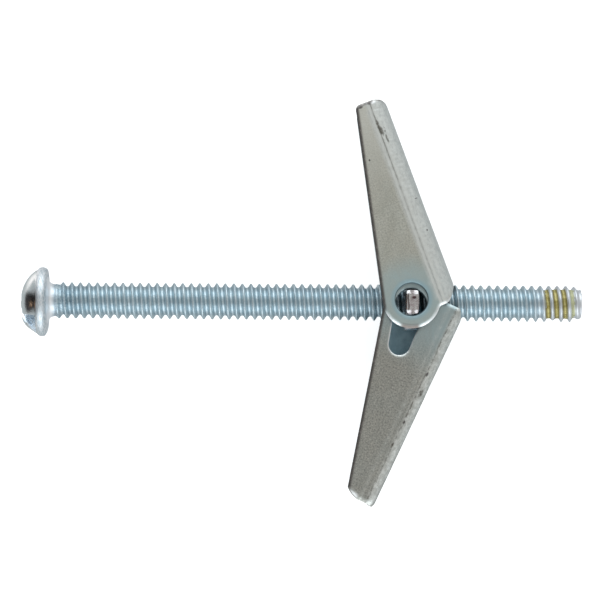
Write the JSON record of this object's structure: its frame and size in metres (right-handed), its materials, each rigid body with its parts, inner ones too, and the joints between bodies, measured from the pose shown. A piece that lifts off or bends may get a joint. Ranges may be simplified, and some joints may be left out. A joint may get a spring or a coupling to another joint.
{
  "type": "spring toggle bolt",
  "caption": "Spring toggle bolt: a round-head machine screw with a stamped trunnion nut whose sprung channel wings fold along the screw and open behind a thin wall.",
  "frame": {"origin": "centre of the bearing face under the screw's head, on the screw's axis", "axes": "+X along the screw from the head to its end, +Y along the upper wing, +Z along the wings' hinge line, away from the surface that the bolt lies on"},
  "size_m": [0.0522, 0.0379, 0.0073],
  "materials": {
    "screw": "bright blue-white zinc plate",
    "nut": "bright zinc plate",
    "spring": "drawn wire",
    "wing": "dull zinc plate, handled"
  },
  "bodies": {
    "screw": {"screw": "screw"},
    "nut": {"trunnion_nut": "nut", "torsion_spring": "spring"},
    "upper_wing": {"upper_wing": "wing"},
    "lower_wing": {"lower_wing": "wing"}
  },
  "joints": [
    {"name": "nut_travel", "type": "slide", "parent": "screw", "child": "nut", "axis": [1, 0, 0], "range_m": [-0.01349, 0.01349]},
    {"name": "upper_wing_fold", "type": "hinge", "parent": "nut", "child": "upper_wing", "pos_m": [0.0338, 0, 0], "axis": [0, 0, 1], "range_deg": [0, 73], "stiffness_Nm_per_rad": 0.012, "springref_deg": -8.59, "deforming": ["torsion_spring"]},
    {"name": "lower_wing_fold", "type": "hinge", "parent": "nut", "child": "lower_wing", "pos_m": [0.0338, 0, 0], "axis": [0, 0, -1], "range_deg": [0, 69], "stiffness_Nm_per_rad": 0.012, "springref_deg": -8.59, "deforming": ["torsion_spring"]}
  ]
}
